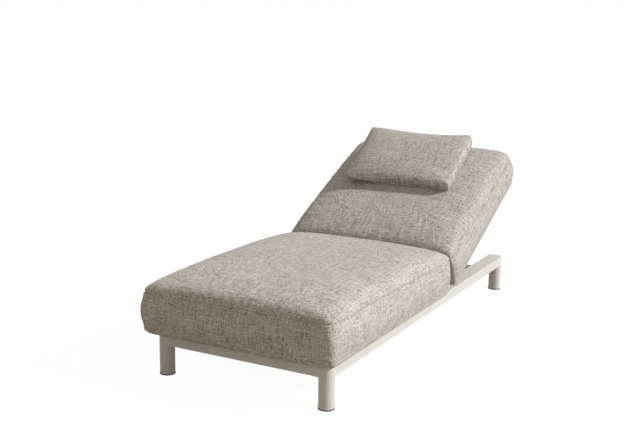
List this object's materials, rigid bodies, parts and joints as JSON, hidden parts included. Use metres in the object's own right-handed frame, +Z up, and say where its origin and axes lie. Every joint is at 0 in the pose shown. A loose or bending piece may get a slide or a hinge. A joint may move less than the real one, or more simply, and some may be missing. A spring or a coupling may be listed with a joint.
{
  "type": "spa relaxation lounger",
  "caption": "Upholstered lounger on a low metal frame, with a back that rises on swing arms, a thick seat cushion and a head pillow.",
  "frame": {"origin": "on the floor, under the middle of the lounger's outline", "axes": "+Z up, +Y towards the head end, +X to the right as seen from the foot end"},
  "size_m": [0.893, 2.0769, 0.8365],
  "materials": {
    "cover_fabric": "plain weave, matt, mottled grey-beige",
    "foam": "open-cell foam",
    "fibre_filling": "loose fibre",
    "frame_paint": "fine-textured powder coat on aluminium, satin",
    "bare_aluminium": "anodised, satin",
    "stainless_steel": "satin",
    "dark_plastic": "matt nylon",
    "buffer_rubber": "matt"
  },
  "bodies": {
    "base": {"side_rail_left": "frame_paint", "side_rail_right": "frame_paint", "front_rail": "frame_paint", "seat_crossbar": "frame_paint", "arm_crossbar": "frame_paint", "rear_crossbar": "frame_paint", "leg_front_left": "frame_paint", "leg_front_right": "frame_paint", "leg_rear_left": "frame_paint", "leg_rear_right": "frame_paint", "leg_glides": "dark_plastic", "leg_bolts": "stainless_steel", "leg_nut_plates": "stainless_steel", "slat_ledge_left": "frame_paint", "slat_ledge_right": "frame_paint", "seat_slats": "frame_paint", "slat_screws": "stainless_steel", "arm_bracket_left": "frame_paint", "arm_bracket_right": "frame_paint", "arm_pivot_bolts": "stainless_steel", "arm_pivot_nuts": "stainless_steel", "arm_washers": "dark_plastic", "glide_track_left": "bare_aluminium", "glide_track_right": "bare_aluminium", "ratchet_rack_left": "dark_plastic", "ratchet_rack_right": "dark_plastic", "rack_screws": "stainless_steel", "rest_buffers": "buffer_rubber", "seat_cushion_cover": "cover_fabric", "seat_foam_core": "foam"},
    "arms": {"swing_arm_left": "frame_paint", "swing_arm_right": "frame_paint", "arm_tie_tube": "frame_paint"},
    "back": {"back_side_tube_left": "frame_paint", "back_side_tube_right": "frame_paint", "back_top_tube": "frame_paint", "back_slats": "frame_paint", "tube_end_caps": "dark_plastic", "glide_bar": "stainless_steel", "back_pivot_bolts": "stainless_steel", "back_pivot_nuts": "stainless_steel", "back_washers": "dark_plastic", "back_cushion_cover": "cover_fabric", "back_foam_core": "foam"},
    "shoes": {"slide_shoe_left": "dark_plastic", "slide_shoe_right": "dark_plastic", "leaf_pawl_left": "stainless_steel", "leaf_pawl_right": "stainless_steel"},
    "pillow": {"head_pillow_cover": "cover_fabric", "head_pillow_filling": "fibre_filling"}
  },
  "joints": [
    {"name": "arm_pivot", "type": "hinge", "parent": "base", "child": "arms", "pos_m": [0, 0.565, 0.164], "axis": [-1, 0, 0], "range_deg": [-25.3, 34.7]},
    {"name": "back_pivot", "type": "hinge", "parent": "arms", "child": "back", "pos_m": [0, 0.38418, 0.24947], "axis": [1, 0, 0], "range_deg": [-50.6, 69.4]},
    {"name": "shoe_pivot", "type": "hinge", "parent": "back", "child": "shoes", "pos_m": [0, 0.20337, 0.164], "axis": [-1, 0, 0], "range_deg": [-25.3, 34.7], "deforming": ["leaf_pawl_left", "leaf_pawl_right"]},
    {"name": "pillow_slide", "type": "slide", "parent": "back", "child": "pillow", "axis": [0, 0.9041, 0.4274], "range_m": [-0.05, 0.05]}
  ],
  "couplings": [
    {"joint": "back_pivot", "follows": "arm_pivot", "ratio": 2},
    {"joint": "shoe_pivot", "follows": "arm_pivot", "ratio": 1}
  ]
}
